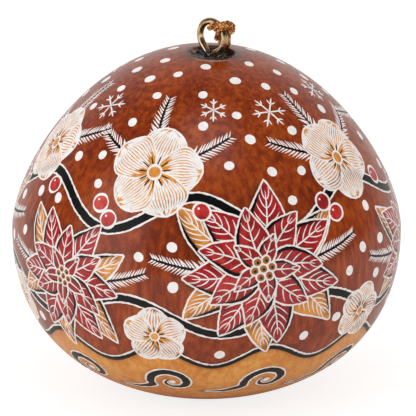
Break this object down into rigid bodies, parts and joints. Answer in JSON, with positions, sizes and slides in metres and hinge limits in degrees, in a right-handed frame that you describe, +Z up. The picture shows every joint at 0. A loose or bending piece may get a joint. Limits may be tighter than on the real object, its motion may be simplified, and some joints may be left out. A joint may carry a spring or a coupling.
{
  "type": "gourd ornament",
  "caption": "Squat hollow gourd ornament with a flat rest face, a brass screw eye glued into its stem scar and a knotted cord loop to hang it by.",
  "frame": {"origin": "middle of the flat rest face that the gourd stands on", "axes": "+Z up through the stem, +X to the right seen from the front, the front faces -Y and the cord loop lies down the back, +Y"},
  "size_m": [0.08, 0.0915, 0.0783],
  "materials": {
    "stained_gourd": "dried gourd rind, orange-brown stain under satin varnish",
    "glue": "hardened glossy glue, dark grey brown",
    "brass": "bright drawn brass wire",
    "metallic_cord": "twisted metallic yarn, gold and orange",
    "seed": "dry gourd seed, matt tan",
    "ochre_rind": "bare rind left ochre, varnished",
    "red_paint": "red stain on the rind, varnished",
    "dark_paint": "black paint on the rind, varnished",
    "white_engraving": "fine engraved lines filled white, matt"
  },
  "bodies": {
    "ornament": {"gourd_shell": "stained_gourd", "glue_collar": "glue", "screw_eye": "brass", "cord_knot": "metallic_cord", "seed_01": "seed", "seed_02": "seed", "seed_03": "seed", "seed_04": "seed", "seed_05": "seed", "seed_06": "seed", "seed_07": "seed", "seed_08": "seed", "seed_09": "seed", "seed_10": "seed", "seed_11": "seed", "seed_12": "seed", "seed_13": "seed", "seed_14": "seed", "seed_15": "seed", "seed_16": "seed", "seed_17": "seed", "seed_18": "seed", "seed_19": "seed", "seed_20": "seed", "seed_21": "seed", "seed_22": "seed", "seed_23": "seed", "seed_24": "seed"},
    "hanging_loop": {"hanging_cord": "metallic_cord"}
  },
  "joints": [
    {"name": "loop_swing", "type": "hinge", "parent": "ornament", "child": "hanging_loop", "pos_m": [0.00447, -0.0004, 0.07597], "axis": [1, 0, 0], "range_deg": [0, 146]}
  ]
}
